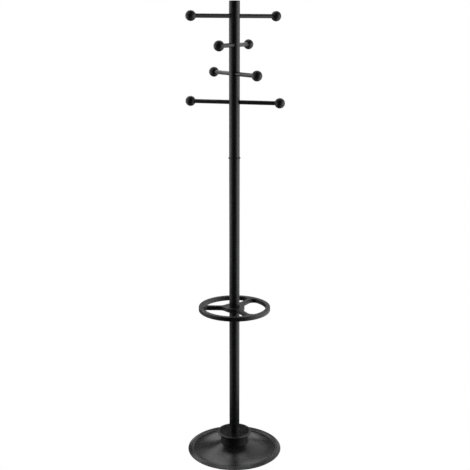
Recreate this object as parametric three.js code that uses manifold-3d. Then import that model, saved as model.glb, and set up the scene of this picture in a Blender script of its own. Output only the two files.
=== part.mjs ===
// A standing coat rack: a screwed-together steel pole on a weighted round base, with four pegs
// through the top section and an umbrella ring trapped between the lower two sections.
// Millimetres, +Z up. The origin is on the pole's axis, on the floor.

import * as THREE from 'three';
import { mergeVertices } from 'three/addons/utils/BufferGeometryUtils.js';
import Module from 'manifold-3d';

const wasm = await Module();
wasm.setup();

// ---------------------------------------------------------------- driving dimensions

// Clearances
const TOUCH = 0.3; // between two pieces that touch, press into or screw into each other
const RUNNING = 0.4; // radial, between the umbrella ring and the bush it turns on
const RING_PLAY = 0.3; // axial, above and below the umbrella ring
const SLIP = 0.7; // radial, between the hub cover and the socket that it drops over

// Pole
const POLE_RADIUS = 20;
const POLE_WALL = 1.5;
const LOWER_TUBE = 554.3; // length of each section of the pole
const MIDDLE_TUBE = 579.4;
const UPPER_TUBE = 564;
const INSERT_LENGTH = 25; // threaded plug pressed into a tube's end
const THREAD_RADIUS = 5; // M10 throughout
const STUD_LENGTH = 60;
const JOINT_RING_HEIGHT = 5.4;
const JOINT_RING_PROUD = 2.8; // how far it stands out from the pole
const JOINT_RING_ROUND = 1.8;
const CAP_HEIGHT = 2.7;
const CAP_ROUND = 2.2;
const CAP_PLUG = 14;

// Pegs
const PEG_RADIUS = 7.75;
const PEG_WALL = 1.2;
const PEG_BELOW_TOP = 50.5; // top of the upper tube to the first peg
const PEG_PITCH = 102.9;
const PEG_AZIMUTHS = [27, 72, 117, 162]; // degrees from +X, from the top peg down
const BALL_RADIUS = 19;
const BALL_REACH = 173.3; // pole axis to the middle of a ball
const BALL_SOCKET = 5; // how far a peg goes into its ball
const BALL_SPIGOT = 15; // how far a ball's spigot goes into the peg's bore

// Umbrella ring
const RING_OUTER = 139.75;
const RING_INNER = 123;
const RING_HEIGHT = 17.5;
const RING_ROUND = 3; // every edge but the bore's
const ARM_WIDTH = 15;
const ARM_COUNT = 3;
const ARM_AZIMUTH = 57.7;
const HOOP_FILLET = 19; // where an arm meets the hoop
const HUB_FILLET = 27; // where it meets the hub
const HUB_SIDE = 39.5; // pole's axis to the middle of each of the hub's sides, which bulge
const HUB_SIDE_RADIUS = 50;
const BUSH_RADIUS = 14;

// Base
const BASE_RADIUS = 187.5;
const DISH_WALL = 1.5;
const RIM_CREST_INSET = 16.5; // from the widest circle in to the rim's crest
const RIM_CREST_HEIGHT = 9.5;
const DISH_FLOOR_INSET = 24; // from the widest circle in to the dish's lowest circle
const DISH_FLOOR_HEIGHT = 4;
const DISH_POWER = 1.6; // of the curve that rises from there to the seat
const LIP_HEIGHT = 0.8; // the rim's underside above the floor
const SEAT_HEIGHT = 31; // the flat in the middle of the dish, which the hub stands on
const FLOOR_RING_INSET = 4.7; // from the widest circle in to the rubber ring
const FLOOR_RING_WIDTH = 6.8;
const BALLAST_RADIUS = 100;
const BALLAST_LIFT = 1;
const RECESS_RADIUS = 16; // for the bolt's head
const RECESS_TOP = 11;
const WASHER_RADIUS = 13;
const WASHER_HEIGHT = 2;
const BOLT_HEAD_RADIUS = 9.8; // across the corners of its hexagon, halved
const BOLT_HEAD_HEIGHT = 6.4;
const BOLT_REACH = 21.8; // how far the bolt goes into the lower tube's plug

// Hub
const PLATE_RADIUS = 46;
const PLATE_HEIGHT = 3;
const SOCKET_WALL = 2.5;
const HUB_HEIGHT = 75.5; // the hub's top above the floor
const SKIRT_RADIUS = 54;
const SKIRT_FLARE = 2; // how much wider the skirt is at its foot
const SEAT_MARGIN = 1; // the dish's flat shows this far round the skirt
const HUB_WALL = 2.6;
const FLANGE_RADIUS = 68;
const FLANGE_HEIGHT = 5;
const DISC_RADIUS = 58;
const DISC_HEIGHT = 2.2;
const DISC_GROOVE = 1; // open groove round the disc

// Sides that stand for a full turn
const BASE_SIDES = 64;
const HUB_SIDES = 48;
const RING_SIDES = 72;
const POLE_SIDES = 32;
const SMALL_SIDES = 16;

// ---------------------------------------------------------------- worked out from them

const BORE = POLE_RADIUS - POLE_WALL;
const SKIRT_FOOT = SKIRT_RADIUS + SKIRT_FLARE;
const SEAT_RADIUS = SKIRT_FOOT + SEAT_MARGIN;
const RIM_CREST = BASE_RADIUS - RIM_CREST_INSET;
const DISH_FLOOR = BASE_RADIUS - DISH_FLOOR_INSET;
const PLATE_BOTTOM = SEAT_HEIGHT + TOUCH;
const LOWER_BOTTOM = PLATE_BOTTOM + PLATE_HEIGHT + TOUCH;
const LOWER_TOP = LOWER_BOTTOM + LOWER_TUBE;
const BUSH_BOTTOM = LOWER_TOP + TOUCH;
const RING_BOTTOM = BUSH_BOTTOM + RING_PLAY;
const RING_TOP = RING_BOTTOM + RING_HEIGHT;
const BUSH_TOP = RING_TOP + RING_PLAY;
const MIDDLE_BOTTOM = BUSH_TOP + TOUCH;
const MIDDLE_TOP = MIDDLE_BOTTOM + MIDDLE_TUBE;
const JOINT_RING_BOTTOM = MIDDLE_TOP + TOUCH;
const JOINT_RING_TOP = JOINT_RING_BOTTOM + JOINT_RING_HEIGHT;
const UPPER_BOTTOM = JOINT_RING_TOP + TOUCH;
const UPPER_TOP = UPPER_BOTTOM + UPPER_TUBE;
const THREAD_HOLE = THREAD_RADIUS + TOUCH;

const radians = (degrees) => THREE.MathUtils.degToRad(degrees);

// ---------------------------------------------------------------- finishes

const finish = (color, roughness, metalness) => () =>
  new THREE.MeshStandardMaterial({ color, roughness, metalness });
const blackSteel = finish(0x17181a, 0.38, 0.1);
const blackPlastic = finish(0x141517, 0.45, 0);
const zincSteel = finish(0x9a9c9e, 0.4, 0.9);
const castIron = finish(0x3a3a3b, 0.7, 0.6);
const rubber = finish(0x1c1c1c, 0.9, 0);

// ---------------------------------------------------------------- solids

// Six times the volume that a triangle list encloses; negative when its faces point in.
function signedVolume(positions, index) {
  const corner = [new THREE.Vector3(), new THREE.Vector3(), new THREE.Vector3()];
  let sum = 0;
  for (let i = 0; i < index.length; i += 3) {
    corner.forEach((c, k) => c.fromArray(positions, 3 * index[i + k]));
    sum += corner[0].dot(corner[1].clone().cross(corner[2]));
  }
  return sum;
}

// A geometry with only shared positions, its faces turned outwards.
function closed(geometry) {
  const plain = geometry.clone();
  plain.deleteAttribute('normal');
  plain.deleteAttribute('uv');
  const merged = mergeVertices(plain, 1e-3);
  const corners = [];
  const index = merged.index.array;
  for (let i = 0; i < index.length; i += 3) {
    const [a, b, c] = index.slice(i, i + 3);
    if (a !== b && b !== c && c !== a) corners.push(a, b, c);
  }
  if (signedVolume(merged.attributes.position.array, corners) < 0) corners.reverse();
  merged.setIndex(corners);
  return merged;
}

function toSolid(geometry) {
  const shape = closed(geometry);
  return new wasm.Manifold(
    new wasm.Mesh({
      numProp: 3,
      vertProperties: new Float32Array(shape.attributes.position.array),
      triVerts: new Uint32Array(shape.index.array),
    }),
  );
}

function fromSolid(solid) {
  const mesh = solid.getMesh();
  return new THREE.BufferGeometry()
    .setAttribute('position', new THREE.BufferAttribute(mesh.vertProperties, 3))
    .setIndex(new THREE.BufferAttribute(mesh.triVerts, 1));
}

// A profile of [radius, height] points turned about Z.
function turned(profile, sides) {
  const points = profile.map(([r, z]) => new THREE.Vector2(r, z));
  return closed(new THREE.LatheGeometry(points, sides).rotateX(Math.PI / 2));
}

// The same for a profile that goes all the way round a wall, so that its last point is its first.
function turnedWall(profile, sides) {
  return turned([...profile, profile[0]], sides);
}

function ringWall(inner, outer, bottom, top, sides) {
  return turnedWall([[inner, bottom], [outer, bottom], [outer, top], [inner, top]], sides);
}

// Points on a circle of radius r about (x, z), from one angle to another in degrees.
function arc(x, z, r, from, to, steps) {
  return Array.from({ length: steps + 1 }, (_, i) => {
    const angle = radians(from + ((to - from) * i) / steps);
    return [x + r * Math.cos(angle), z + r * Math.sin(angle)];
  });
}

const rack = new THREE.Group();
rack.name = 'coat_rack';

function place(name, geometry, material, parent = rack) {
  const mesh = new THREE.Mesh(geometry, material());
  mesh.name = name;
  parent.add(mesh);
  return mesh;
}

// ---------------------------------------------------------------- base

// The dish's upper surface: level at its lowest circle and rising more and more steeply inwards.
function dishHeight(radius) {
  const share = (DISH_FLOOR - radius) / (DISH_FLOOR - SEAT_RADIUS);
  return DISH_FLOOR_HEIGHT + (SEAT_HEIGHT - DISH_FLOOR_HEIGHT) * share ** DISH_POWER;
}

// Points of that surface, lowered by drop, from one radius to another. They lie closer together
// towards the middle, where the surface bends most.
function dishCurve(from, to, steps, drop) {
  return Array.from({ length: steps + 1 }, (_, i) => {
    const share = from > to ? 1 - (1 - i / steps) ** 1.6 : (i / steps) ** 1.6;
    const radius = from + (to - from) * share;
    return [radius, dishHeight(radius) - drop];
  });
}

function baseDish() {
  const top = [
    [THREAD_HOLE, SEAT_HEIGHT],
    ...dishCurve(SEAT_RADIUS, DISH_FLOOR, 8, 0),
    [DISH_FLOOR + 2.6, DISH_FLOOR_HEIGHT + 0.4],
    [RIM_CREST - 2.6, RIM_CREST_HEIGHT - 0.8],
    [RIM_CREST, RIM_CREST_HEIGHT],
    [RIM_CREST + 2.6, RIM_CREST_HEIGHT - 0.5],
    [BASE_RADIUS - 2.4, LIP_HEIGHT + 3.8],
    [BASE_RADIUS - 0.5, LIP_HEIGHT + 2.8],
    [BASE_RADIUS, LIP_HEIGHT + 1.8],
    [BASE_RADIUS - 0.8, LIP_HEIGHT + 0.4],
  ];
  const under = [
    [BASE_RADIUS - 1.8, LIP_HEIGHT],
    [BASE_RADIUS - DISH_WALL, LIP_HEIGHT + 1.8],
    [BASE_RADIUS - 3.4, LIP_HEIGHT + 2.6],
    [RIM_CREST + 2.2, RIM_CREST_HEIGHT - 0.5 - DISH_WALL],
    [RIM_CREST, RIM_CREST_HEIGHT - DISH_WALL],
    [RIM_CREST - 2, RIM_CREST_HEIGHT - 0.8 - DISH_WALL],
    [DISH_FLOOR + 3, DISH_FLOOR_HEIGHT + 0.4 - DISH_WALL],
    ...dishCurve(DISH_FLOOR, SEAT_RADIUS, 8, DISH_WALL),
    [THREAD_HOLE, SEAT_HEIGHT - DISH_WALL],
  ];
  return turnedWall([...top, ...under], BASE_SIDES);
}

// The rubber ring under the rim: its top slopes with the rim, and it alone meets the floor.
function floorRing() {
  const rimUnder = (radius) => {
    const inside = RIM_CREST + 2.2;
    const outside = BASE_RADIUS - 3.4;
    const high = RIM_CREST_HEIGHT - 0.5 - DISH_WALL;
    const low = LIP_HEIGHT + 2.6;
    return high + ((low - high) * (radius - inside)) / (outside - inside) - TOUCH;
  };
  const outer = BASE_RADIUS - FLOOR_RING_INSET;
  const inner = outer - FLOOR_RING_WIDTH;
  return turnedWall([
    [inner, 0],
    [outer, 0],
    [outer, rimUnder(outer)],
    [inner, rimUnder(inner)],
  ], BASE_SIDES);
}

// The weight fills the space under the raised middle of the dish.
function ballastDisc() {
  return turnedWall([
    [THREAD_HOLE, RECESS_TOP],
    [RECESS_RADIUS, RECESS_TOP],
    [RECESS_RADIUS, BALLAST_LIFT],
    [BALLAST_RADIUS, BALLAST_LIFT],
    ...dishCurve(BALLAST_RADIUS, SEAT_RADIUS, 5, DISH_WALL + TOUCH),
    [THREAD_HOLE, SEAT_HEIGHT - DISH_WALL - TOUCH],
  ], BASE_SIDES);
}

const WASHER_TOP = RECESS_TOP - TOUCH;
const HEAD_TOP = WASHER_TOP - WASHER_HEIGHT - TOUCH;

// Hexagon head and shank, standing up through the base into the lower tube's plug.
function baseBolt() {
  const head = turned([
    [0, HEAD_TOP - BOLT_HEAD_HEIGHT],
    [BOLT_HEAD_RADIUS, HEAD_TOP - BOLT_HEAD_HEIGHT],
    [BOLT_HEAD_RADIUS, HEAD_TOP],
    [0, HEAD_TOP],
  ], 6);
  const shank = rod(HEAD_TOP - 1, LOWER_BOTTOM + BOLT_REACH);
  return fromSolid(toSolid(head).add(toSolid(shank)));
}

// A plain M10 rod on the pole's axis.
function rod(bottom, top) {
  return turned([
    [0, bottom],
    [THREAD_RADIUS, bottom],
    [THREAD_RADIUS, top],
    [0, top],
  ], SMALL_SIDES);
}

place('base_dish', baseDish(), blackSteel);
place('floor_ring', floorRing(), rubber);
place('ballast_disc', ballastDisc(), castIron);
place('base_bolt', baseBolt(), zincSteel);
place(
  'base_washer',
  ringWall(THREAD_HOLE, WASHER_RADIUS, WASHER_TOP - WASHER_HEIGHT, WASHER_TOP, POLE_SIDES),
  zincSteel,
);

// ---------------------------------------------------------------- hub

const DISC_BOTTOM = HUB_HEIGHT - DISC_HEIGHT;
const SOCKET_RADIUS = POLE_RADIUS + TOUCH + SOCKET_WALL;

// The steel plate and sleeve that the pole stands in.
function poleSocket() {
  return turnedWall([
    [THREAD_HOLE, PLATE_BOTTOM],
    [PLATE_RADIUS, PLATE_BOTTOM],
    [PLATE_RADIUS, PLATE_BOTTOM + PLATE_HEIGHT],
    [SOCKET_RADIUS, PLATE_BOTTOM + PLATE_HEIGHT],
    [SOCKET_RADIUS, DISC_BOTTOM - SLIP],
    [POLE_RADIUS + TOUCH, DISC_BOTTOM - SLIP],
    [POLE_RADIUS + TOUCH, PLATE_BOTTOM + PLATE_HEIGHT],
    [THREAD_HOLE, PLATE_BOTTOM + PLATE_HEIGHT],
  ], POLE_SIDES);
}

// The cover's skirt sweeps out into a round-edged flange. Its top has a seat for the disc.
function hubCover() {
  const flangeBottom = HUB_HEIGHT - FLANGE_HEIGHT;
  const lip = FLANGE_HEIGHT / 2;
  const seat = DISC_BOTTOM - TOUCH;
  const under = seat - HUB_WALL;
  const sweep = 8;
  return turnedWall([
    [SKIRT_FOOT, SEAT_HEIGHT + TOUCH],
    [SKIRT_RADIUS + 0.5, SEAT_HEIGHT + 8],
    [SKIRT_RADIUS, SEAT_HEIGHT + 18],
    ...arc(SKIRT_RADIUS + sweep, flangeBottom - sweep, sweep, 180, 90, 4),
    ...arc(FLANGE_RADIUS - lip, HUB_HEIGHT - lip, lip, -90, 90, 4),
    [DISC_RADIUS + DISC_GROOVE, HUB_HEIGHT],
    [DISC_RADIUS + DISC_GROOVE, seat],
    [SOCKET_RADIUS + SLIP, seat],
    [SOCKET_RADIUS + SLIP, under],
    [SKIRT_RADIUS - HUB_WALL, under],
    [SKIRT_RADIUS - HUB_WALL, SEAT_HEIGHT + 18],
    [SKIRT_FOOT - HUB_WALL, SEAT_HEIGHT + TOUCH],
  ], HUB_SIDES);
}

function hubDisc() {
  return turnedWall([
    [POLE_RADIUS + TOUCH, DISC_BOTTOM],
    [DISC_RADIUS, DISC_BOTTOM],
    [DISC_RADIUS, HUB_HEIGHT - 0.6],
    [DISC_RADIUS - 0.6, HUB_HEIGHT],
    [POLE_RADIUS + TOUCH, HUB_HEIGHT],
  ], HUB_SIDES);
}

place('pole_socket', poleSocket(), zincSteel);
place('hub_cover', hubCover(), blackPlastic);
place('hub_disc', hubDisc(), blackPlastic);

// ---------------------------------------------------------------- pole

function tube(bottom, top) {
  return ringWall(BORE, POLE_RADIUS, bottom, top, POLE_SIDES);
}

// A plug pressed into a tube with its outer face level with the tube's end.
function insert(bottom) {
  return ringWall(THREAD_HOLE, BORE - TOUCH, bottom, bottom + INSERT_LENGTH, POLE_SIDES);
}

function stud(middle) {
  return rod(middle - STUD_LENGTH / 2, middle + STUD_LENGTH / 2);
}

function jointRing() {
  const edge = POLE_RADIUS + JOINT_RING_PROUD - JOINT_RING_ROUND;
  const bottom = JOINT_RING_BOTTOM + JOINT_RING_ROUND;
  const top = JOINT_RING_TOP - JOINT_RING_ROUND;
  return turnedWall([
    [THREAD_HOLE, JOINT_RING_BOTTOM],
    ...arc(edge, bottom, JOINT_RING_ROUND, -90, 0, 2),
    ...arc(edge, top, JOINT_RING_ROUND, 0, 90, 2),
    [THREAD_HOLE, JOINT_RING_TOP],
  ], POLE_SIDES);
}

function topCap() {
  const bottom = UPPER_TOP + TOUCH;
  const top = bottom + CAP_HEIGHT;
  return turned([
    [0, bottom - CAP_PLUG],
    [BORE - TOUCH, bottom - CAP_PLUG],
    [BORE - TOUCH, bottom],
    [POLE_RADIUS, bottom],
    ...arc(POLE_RADIUS - CAP_ROUND, top - CAP_ROUND, CAP_ROUND, 0, 90, 3),
    [0, top],
  ], POLE_SIDES);
}

const pegHeights = PEG_AZIMUTHS.map((_, i) => UPPER_TOP - PEG_BELOW_TOP - i * PEG_PITCH);

// The upper tube is drilled right through for each peg.
function upperTube() {
  const drills = PEG_AZIMUTHS.map((azimuth, i) => {
    const drill = new THREE.CylinderGeometry(
      PEG_RADIUS + TOUCH,
      PEG_RADIUS + TOUCH,
      4 * POLE_RADIUS,
      SMALL_SIDES,
    );
    drill.rotateZ(-Math.PI / 2).rotateZ(radians(azimuth));
    return drill.translate(0, 0, pegHeights[i]);
  });
  const plain = toSolid(tube(UPPER_BOTTOM, UPPER_TOP));
  return fromSolid(drills.reduce((solid, drill) => solid.subtract(toSolid(drill)), plain));
}

place('lower_tube', tube(LOWER_BOTTOM, LOWER_TOP), blackSteel);
place('middle_tube', tube(MIDDLE_BOTTOM, MIDDLE_TOP), blackSteel);
place('upper_tube', upperTube(), blackSteel);
place('lower_tube_bottom_insert', insert(LOWER_BOTTOM), zincSteel);
place('lower_tube_top_insert', insert(LOWER_TOP - INSERT_LENGTH), zincSteel);
place('middle_tube_bottom_insert', insert(MIDDLE_BOTTOM), zincSteel);
place('middle_tube_top_insert', insert(MIDDLE_TOP - INSERT_LENGTH), zincSteel);
place('upper_tube_bottom_insert', insert(UPPER_BOTTOM), zincSteel);
place('lower_stud', stud((LOWER_TOP + MIDDLE_BOTTOM) / 2), zincSteel);
place('upper_stud', stud((MIDDLE_TOP + UPPER_BOTTOM) / 2), zincSteel);
place(
  'ring_bush',
  ringWall(THREAD_HOLE, BUSH_RADIUS, BUSH_BOTTOM, BUSH_TOP, POLE_SIDES),
  blackPlastic,
);
place('joint_ring', jointRing(), blackPlastic);
place('top_cap', topCap(), blackPlastic);

// ---------------------------------------------------------------- umbrella ring

// The opening about +X, between two arms. Half its outline is the hub's bulging side, a fillet, the
// arm's straight side, another fillet and the hoop's inner circle.
function ringWindow() {
  const arm = Math.PI / ARM_COUNT;
  const along = new THREE.Vector2(Math.cos(arm), Math.sin(arm));
  const aside = new THREE.Vector2(Math.sin(arm), -Math.cos(arm));
  const bulge = new THREE.Vector2(HUB_SIDE - HUB_SIDE_RADIUS, 0);
  const hubOff = ARM_WIDTH / 2 + HUB_FILLET;
  const apart = HUB_SIDE_RADIUS + HUB_FILLET;
  const hubOut = bulge.dot(along) + Math.sqrt(apart ** 2 - (hubOff - bulge.dot(aside)) ** 2);
  const inner = along.clone().multiplyScalar(hubOut).addScaledVector(aside, hubOff);
  const hoopOff = ARM_WIDTH / 2 + HOOP_FILLET;
  const hoopOut = Math.sqrt((RING_INNER - HOOP_FILLET) ** 2 - hoopOff ** 2);
  const outer = along.clone().multiplyScalar(hoopOut).addScaledVector(aside, hoopOff);
  const hubTurn = THREE.MathUtils.radToDeg(inner.clone().sub(bulge).angle());
  const hoopTurn = THREE.MathUtils.radToDeg(outer.angle());
  const armSide = THREE.MathUtils.radToDeg(arm) + 90;
  const half = [
    ...arc(bulge.x, 0, HUB_SIDE_RADIUS, 0, hubTurn, 3),
    ...arc(inner.x, inner.y, HUB_FILLET, hubTurn + 180, armSide, 4).slice(1),
    ...arc(outer.x, outer.y, HOOP_FILLET, armSide, hoopTurn, 5),
    ...arc(0, 0, RING_INNER, hoopTurn, 0, 8).slice(1),
  ];
  return [...half, ...half.slice(1, -1).reverse().map(([x, y]) => [x, -y])];
}

// One round-edged plate with three openings, bored for the bush. Its arms point along +X and a
// third of a turn to each side.
function umbrellaRing() {
  const points = (outline) => outline.map(([x, y]) => new THREE.Vector2(x, y));
  const plate = new THREE.Shape(points(arc(0, 0, RING_OUTER, 0, 360, RING_SIDES).slice(1)));
  for (let i = 0; i < ARM_COUNT; i += 1) {
    const turn = ((2 * i + 1) * Math.PI) / ARM_COUNT;
    const window = points(ringWindow()).map((p) => p.rotateAround(new THREE.Vector2(), turn));
    plate.holes.push(new THREE.Path(window));
  }
  const body = new THREE.ExtrudeGeometry(plate, {
    depth: RING_HEIGHT - 2 * RING_ROUND,
    bevelThickness: RING_ROUND,
    bevelSize: RING_ROUND,
    bevelOffset: -RING_ROUND,
    bevelSegments: 2,
  });
  body.translate(0, 0, RING_BOTTOM + RING_ROUND);
  const bore = new THREE.CylinderGeometry(
    BUSH_RADIUS + RUNNING,
    BUSH_RADIUS + RUNNING,
    2 * RING_HEIGHT,
    POLE_SIDES,
  );
  bore.rotateX(Math.PI / 2).translate(0, 0, (RING_BOTTOM + RING_TOP) / 2);
  return fromSolid(toSolid(body).subtract(toSolid(bore)));
}

place('umbrella_ring', umbrellaRing(), blackPlastic).rotation.z = radians(ARM_AZIMUTH);

// ---------------------------------------------------------------- pegs and balls

const PEG_END = BALL_REACH - Math.sqrt(BALL_RADIUS ** 2 - PEG_RADIUS ** 2) + BALL_SOCKET;

// A ball about the origin with its peg coming from below: a spigot inside a socket.
function ball() {
  const mouthRadius = PEG_RADIUS + TOUCH;
  const mouth = Math.asin(mouthRadius / BALL_RADIUS);
  const socket = PEG_END + TOUCH - BALL_REACH;
  const spigot = PEG_RADIUS - PEG_WALL - TOUCH;
  return turned([
    [0, socket - BALL_SPIGOT],
    [spigot, socket - BALL_SPIGOT],
    [spigot, socket],
    [mouthRadius, socket],
    ...arc(0, 0, BALL_RADIUS, THREE.MathUtils.radToDeg(mouth) - 90, 90, 8),
  ], SMALL_SIDES);
}

PEG_AZIMUTHS.forEach((azimuth, i) => {
  const level = i + 1;
  const peg = new THREE.Group();
  peg.position.z = pegHeights[i];
  peg.rotation.z = radians(azimuth);
  rack.add(peg);
  const bar = ringWall(PEG_RADIUS - PEG_WALL, PEG_RADIUS, -PEG_END, PEG_END, SMALL_SIDES);
  place(`peg_${level}`, bar.rotateY(Math.PI / 2), blackSteel, peg);
  for (const [side, sign] of [['right', 1], ['left', -1]]) {
    const knob = place(`ball_${level}_${side}`, ball(), blackPlastic, peg);
    knob.position.x = sign * BALL_REACH;
    knob.rotation.y = (sign * Math.PI) / 2;
  }
});

export default rack;
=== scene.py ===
import math

import bmesh
import bpy
import numpy as np
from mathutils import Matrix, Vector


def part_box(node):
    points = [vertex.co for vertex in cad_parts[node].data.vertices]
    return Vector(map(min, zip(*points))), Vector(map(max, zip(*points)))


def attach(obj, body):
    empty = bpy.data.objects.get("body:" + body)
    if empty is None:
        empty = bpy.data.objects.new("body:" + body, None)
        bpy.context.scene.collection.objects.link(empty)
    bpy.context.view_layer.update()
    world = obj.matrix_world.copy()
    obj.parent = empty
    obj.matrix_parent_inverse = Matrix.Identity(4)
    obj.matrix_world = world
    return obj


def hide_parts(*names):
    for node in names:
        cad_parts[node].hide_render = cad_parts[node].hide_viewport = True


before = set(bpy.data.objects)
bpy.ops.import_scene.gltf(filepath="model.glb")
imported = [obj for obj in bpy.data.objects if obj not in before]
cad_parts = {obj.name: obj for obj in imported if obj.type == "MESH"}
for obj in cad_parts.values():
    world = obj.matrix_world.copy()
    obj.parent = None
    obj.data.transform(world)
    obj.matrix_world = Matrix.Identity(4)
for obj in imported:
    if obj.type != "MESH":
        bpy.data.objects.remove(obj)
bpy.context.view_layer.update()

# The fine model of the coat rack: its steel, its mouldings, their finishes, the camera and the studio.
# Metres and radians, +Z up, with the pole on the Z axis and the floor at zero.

# ---------------------------------------------------------------- sizes that the frame doesn't hold

TUBE_WALL = 0.0015
TUBE_END_ROUND = 0.0004
STUD_BORE = 0.0053           # radius of the hole that the bolt or a stud passes through
SLIP = 0.0003                # radial, where one piece slides into or over another
PEG_WALL = 0.0012
PEG_END_ROUND = 0.0003
PEG_INTO_BALL = 0.005        # how far a peg reaches into the full depth of its ball
DRILL_PLAY = 0.0003          # radial, between a peg and the hole it passes through
DRILL_MARGIN = 0.004         # from a hole to where the tube's long faces are divided

BALL_RADIUS = 0.019
BALL_MOUTH_PLAY = 0.0003     # radial, between a ball's mouth and its peg
BALL_MOUTH_ROUND = 0.0006
BALL_SEAT = 0.0003           # gap between a peg's end and the bottom of the ball's socket
SPIGOT_LENGTH = 0.015

COLLAR_ROUND = 0.0018
CAP_ROUND = 0.0022
CAP_LIP = 0.0027

SEAT_RADIUS = 0.057          # the flat in the middle of the dish
FLOOR_CIRCLE_INSET = 0.024   # from the dish's widest circle in to its lowest one
FLOOR_CIRCLE_LEVEL = 0.004
DISH_POWER = 1.6             # of the curve that rises from there to the flat
CREST_INSET = 0.0165         # and in to the rim's crest
CREST_LEVEL = 0.00995        # where the rim's two slopes would meet if they weren't rounded
CREST_ROUND = 0.0036
RIM_FOOT_OUT = 0.0026        # from the dish's lowest circle out to the foot of the rim's steep side
RIM_FOOT_ROUND = 0.005
RIM_EDGE_LEVEL = 0.0038      # where the rim's outer slope turns down into its edge
RIM_EDGE_ROUND = 0.0017
RIM_LIP_ROUND = 0.0011
UNDER_CREST_ROUND = 0.0026
UNDER_FOOT_OUT = 0.0030
UNDER_EDGE_LEVEL = 0.0028
DISH_WALL = 0.0015

FOOT_RING_WIDTH = 0.0068
FOOT_RING_SLOPE = 0.376      # its top falls outwards, as the rim above it does
TREAD_DEPTH = 0.0006
TREAD_ROUND = 0.0002

HUB_WALL = 0.0026
FLANGE_HEIGHT = 0.005
SKIRT_RADIUS = 0.054
SKIRT_FOOT_FLARE = 0.002
SKIRT_SWEEP = 0.008
DISC_GROOVE = 0.0026         # width of the open groove round the disc
DISC_SEAT = 0.0003
HUB_BORE = 0.0235            # radius of the hole in the seat, round the pole
HUB_STRAIGHT = 0.018         # height above which the skirt's inside stands straight

ARM_AZIMUTH = math.radians(57.7)
ARM_WIDTH = 0.015
HUB_SIDE = 0.0395            # from the pole's axis to the middle of each of the hub's bulging sides
HUB_SIDE_RADIUS = 0.050
HUB_FILLET = 0.027           # where an arm meets the hub
HOOP_FILLET = 0.019          # where it meets the hoop
HOOP_INNER = 0.123
HOOP_ROUND = 0.003
HOLDER_BORE = 0.0144
WINDOW_LOWER_ROUND = 0.0021
WINDOW_UPPER_ROUND = (       # (distance from the pole, rounding of the upper edge there)
    (0.045, 0.0034),
    (0.060, 0.0044),
    (0.100, 0.0044),
    (0.121, 0.0030),
)
WALL_HOLD = 0.0008           # from a rounding to the point that keeps the wall's shading flat

TURN_SIDES = 160             # sides that stand for a full turn on the big round pieces
PEG_SIDES = 64

# ---------------------------------------------------------------- measures taken from the frame


def levels(node):
    """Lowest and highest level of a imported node."""
    low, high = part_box(node)
    return low.z, high.z


def radius_of(node):
    """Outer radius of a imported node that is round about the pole."""
    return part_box(node)[1].x


def tip_of(node):
    """Azimuth, distance from the pole and level of the node's farthest point from the pole."""
    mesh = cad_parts[node].data
    flat = np.empty(3 * len(mesh.vertices), np.float32)
    mesh.vertices.foreach_get("co", flat)
    x, y, z = flat.reshape(-1, 3).astype(float).T
    far = np.argmax(np.hypot(x, y))
    return math.atan2(y[far], x[far]), math.hypot(x[far], y[far]), z[far]


POLE_RADIUS = radius_of("lower_tube")
BASE_RADIUS = radius_of("base_dish")
SEAT_LEVEL = levels("base_dish")[1]
HUB_TOP = levels("hub_cover")[1]
FLANGE_RADIUS = radius_of("hub_cover")
DISC_RADIUS = radius_of("hub_disc")
DISC_BOTTOM = levels("hub_disc")[0]
HOOP_OUTER = radius_of("umbrella_ring")
PEG_RADIUS = (levels("peg_1")[1] - levels("peg_1")[0]) / 2

# ---------------------------------------------------------------- outlines and grids


def rounded(corners, loop=True, steps=6, hold=0.001):
    """An outline of (radius, height, rounding) corners as a dense array of (radius, height) points.
    A corner P with neighbours in directions u and v, which meet at angle a, becomes the arc of its
    rounding r about P + (u + v) / |u + v| * r / sin(a / 2), from P + u r / tan(a / 2) to
    P + v r / tan(a / 2). A point held a little way along each side keeps the shading of the straight
    stretch flat. A corner with no rounding stays one point."""
    data = np.array(corners, float)
    place, bend = data[:, :2], data[:, 2]
    back = np.roll(place, 1, axis=0) - place
    ahead = np.roll(place, -1, axis=0) - place
    back_length = np.maximum(np.linalg.norm(back, axis=1), 1e-9)
    ahead_length = np.maximum(np.linalg.norm(ahead, axis=1), 1e-9)
    u = back / back_length[:, None]
    v = ahead / ahead_length[:, None]
    angle = np.arccos(np.clip((u * v).sum(1), -0.999999, 0.999999))
    cut = bend / np.tan(angle / 2)
    middle = u + v
    middle /= np.maximum(np.linalg.norm(middle, axis=1), 1e-9)[:, None]
    centre = place + middle * (bend / np.sin(angle / 2))[:, None]
    start = place + u * cut[:, None]
    end = place + v * cut[:, None]
    turn = math.pi - angle
    share = np.linspace(0, 1, steps + 1)[None, :, None]
    swing = np.maximum(np.sin(turn), 1e-9)[:, None, None]
    first = np.sin((1 - share) * turn[:, None, None]) / swing
    second = np.sin(share * turn[:, None, None]) / swing
    arc = (
        centre[:, None]
        + first * (start - centre)[:, None]
        + second * (end - centre)[:, None]
    )
    rest_back = back_length - cut - np.roll(cut, 1)
    rest_ahead = ahead_length - cut - np.roll(cut, -1)
    grip = np.where(bend > 0, hold, 0.0)
    before = start + u * np.minimum(grip, np.maximum(rest_back, 0) / 3)[:, None]
    after = end + v * np.minimum(grip, np.maximum(rest_ahead, 0) / 3)[:, None]
    points = np.concatenate([before[:, None], arc, after[:, None]], axis=1).reshape(-1, 2)
    step = np.linalg.norm(points - np.roll(points, 1, axis=0), axis=1)
    keep = step > 1e-7
    if not loop:
        keep[0] = True
    return points[keep]


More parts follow.
